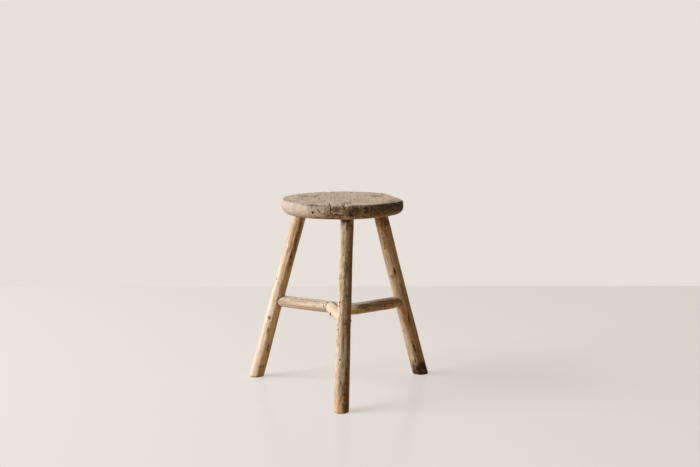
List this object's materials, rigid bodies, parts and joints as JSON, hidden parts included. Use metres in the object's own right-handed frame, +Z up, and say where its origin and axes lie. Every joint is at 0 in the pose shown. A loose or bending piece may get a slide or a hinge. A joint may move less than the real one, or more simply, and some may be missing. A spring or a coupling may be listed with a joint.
{
  "type": "wooden milking stool",
  "caption": "Rustic milking stool: a round hewn seat on splayed legs tied together by a bent-branch stretcher and a short rod.",
  "frame": {"origin": "on the floor, at the middle of the bounding box of the footprint", "axes": "+Z up from the floor to the seat, +Y towards the two rear legs, +X to the right seen from the front leg's side"},
  "size_m": [0.463, 0.4188, 0.4735],
  "materials": {
    "seat_wood": "weathered, dry, dark grey-brown with cracks",
    "leg_wood": "worn bare, light tan with dark stains and wormholes",
    "stretcher_wood": "worn bare, light tan, matte",
    "wedge_wood": "dark end grain",
    "peg_wood": "end grain, matte"
  },
  "bodies": {
    "root": {"seat": "seat_wood", "leg_front": "leg_wood", "leg_left": "leg_wood", "leg_right": "leg_wood", "cross_stretcher": "stretcher_wood", "front_stretcher": "stretcher_wood", "wedge_front": "wedge_wood", "wedge_left": "wedge_wood", "wedge_right": "wedge_wood", "peg_front": "peg_wood", "peg_left": "peg_wood", "peg_right": "peg_wood", "peg_centre": "peg_wood"}
  },
  "joints": []
}
